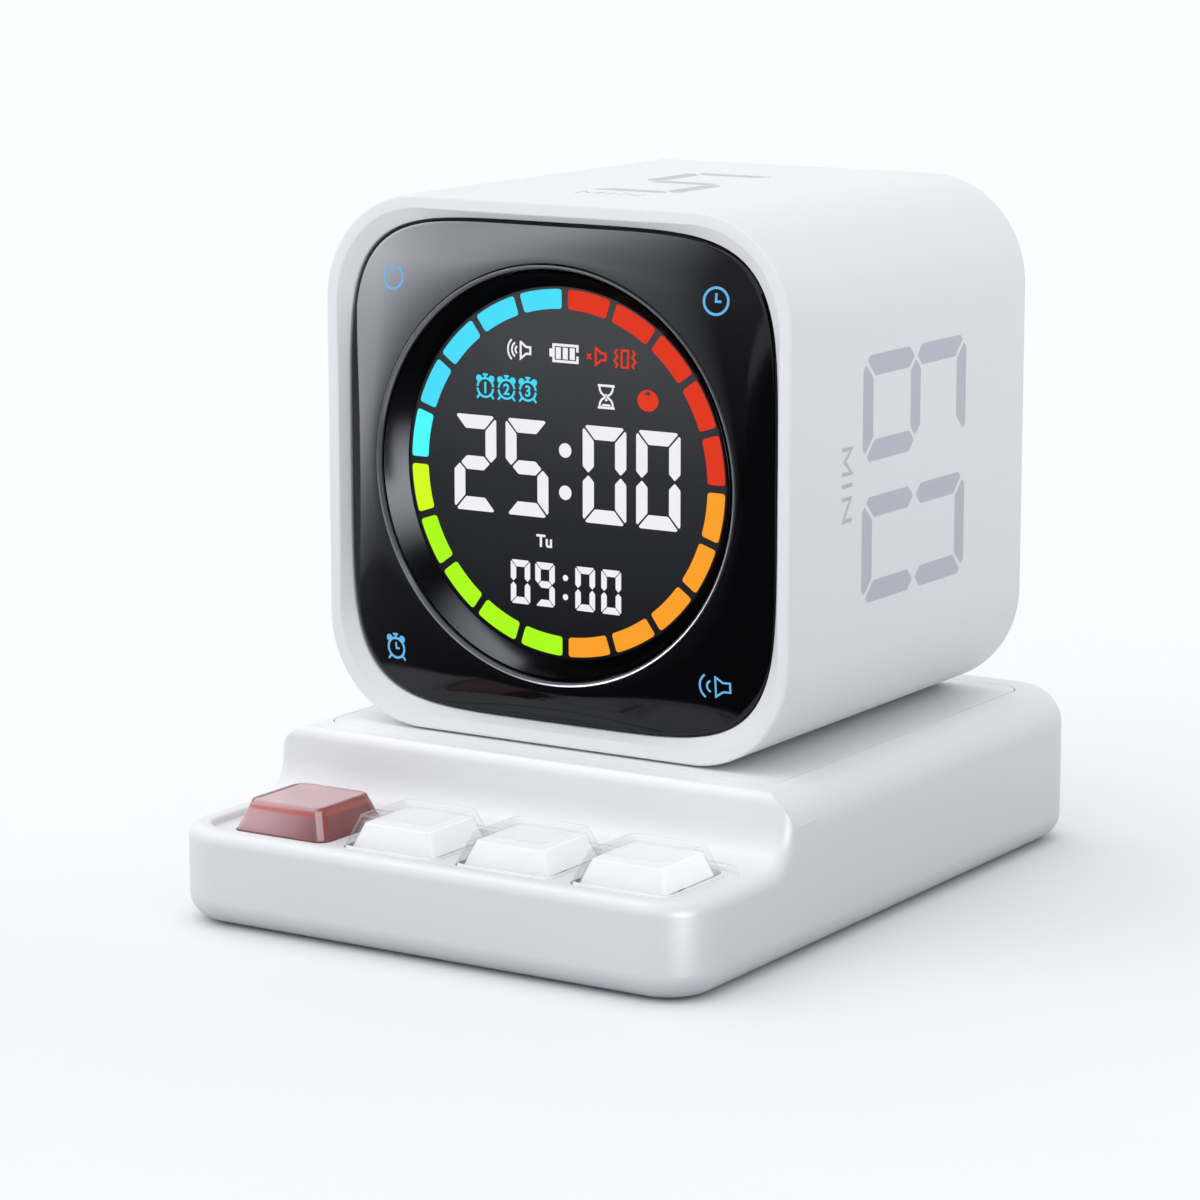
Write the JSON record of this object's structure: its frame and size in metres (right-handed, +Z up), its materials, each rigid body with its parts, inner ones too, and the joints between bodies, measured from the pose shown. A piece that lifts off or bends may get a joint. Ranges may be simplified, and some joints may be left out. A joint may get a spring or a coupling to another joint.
{
  "type": "cube timer",
  "caption": "Rounded cube timer with a round segmented display in a glossy black front, standing on a stepped base with a row of clear-capped sprung keys.",
  "frame": {"origin": "on the table under the centre of the base's footprint", "axes": "+X to the viewer's right, +Y to the back, +Z up; the display faces -Y"},
  "size_m": [0.0878, 0.1174, 0.1029],
  "materials": {
    "white_plastic": "satin moulded plastic",
    "black_gloss": "polished black",
    "silver_trim": "polished silver",
    "display_face": "dark smoked window",
    "light_guide": "milky clear",
    "clear_shell": "polished clear",
    "red_shell": "polished clear red",
    "key_white": "satin",
    "switch_black": "moulded",
    "steel": "bright",
    "board": "solder mask",
    "frame_grey": "moulded",
    "cell_case": "wrapped can",
    "rubber_foot": "matte"
  },
  "bodies": {
    "base": {"base_housing": "white_plastic", "base_cover": "white_plastic", "dock_plate": "white_plastic", "base_board": "board", "base_cell": "cell_case", "base_usb_socket": "steel", "base_screw_1": "steel", "base_screw_2": "steel", "base_screw_3": "steel", "base_screw_4": "steel", "switch_spring_1": "steel", "switch_spring_2": "steel", "switch_spring_3": "steel", "switch_spring_4": "steel", "switch_housing_1": "switch_black", "switch_housing_2": "switch_black", "switch_housing_3": "switch_black", "switch_housing_4": "switch_black", "switch_top_1": "switch_black", "switch_top_2": "switch_black", "switch_top_3": "switch_black", "switch_top_4": "switch_black", "foot_1": "rubber_foot", "foot_2": "rubber_foot", "foot_3": "rubber_foot", "foot_4": "rubber_foot"},
    "cube": {"cube_sleeve": "white_plastic", "front_panel": "black_gloss", "trim_ring": "silver_trim", "bezel_cone": "black_gloss", "display_window": "display_face", "segment_guide": "light_guide", "display_board": "board", "inner_frame": "frame_grey", "battery_pack": "cell_case", "main_board": "board", "vibration_motor": "steel", "speaker": "switch_black", "cube_usb_socket": "steel", "cube_rear_cover": "white_plastic", "cube_screw_1": "steel", "cube_screw_2": "steel", "cube_screw_3": "steel", "cube_screw_4": "steel"},
    "key_1": {"key_shell_1": "red_shell", "key_core_1": "key_white", "switch_stem_1": "key_white"},
    "key_2": {"key_shell_2": "clear_shell", "key_core_2": "key_white", "switch_stem_2": "key_white"},
    "key_3": {"key_shell_3": "clear_shell", "key_core_3": "key_white", "switch_stem_3": "key_white"},
    "key_4": {"key_shell_4": "clear_shell", "key_core_4": "key_white", "switch_stem_4": "key_white"}
  },
  "joints": [
    {"name": "cube_lift", "type": "slide", "parent": "base", "child": "cube", "axis": [0, 0, 1], "range_m": [0, 0.09]},
    {"name": "key_1_press", "type": "slide", "parent": "base", "child": "key_1", "axis": [0, 0, -1], "range_m": [0, 0.0028], "stiffness_N_per_m": 80, "springref_m": -0.0045, "deforming": ["switch_spring_1"]},
    {"name": "key_2_press", "type": "slide", "parent": "base", "child": "key_2", "axis": [0, 0, -1], "range_m": [0, 0.0028], "stiffness_N_per_m": 80, "springref_m": -0.0045, "deforming": ["switch_spring_2"]},
    {"name": "key_3_press", "type": "slide", "parent": "base", "child": "key_3", "axis": [0, 0, -1], "range_m": [0, 0.0028], "stiffness_N_per_m": 80, "springref_m": -0.0045, "deforming": ["switch_spring_3"]},
    {"name": "key_4_press", "type": "slide", "parent": "base", "child": "key_4", "axis": [0, 0, -1], "range_m": [0, 0.0028], "stiffness_N_per_m": 80, "springref_m": -0.0045, "deforming": ["switch_spring_4"]}
  ]
}
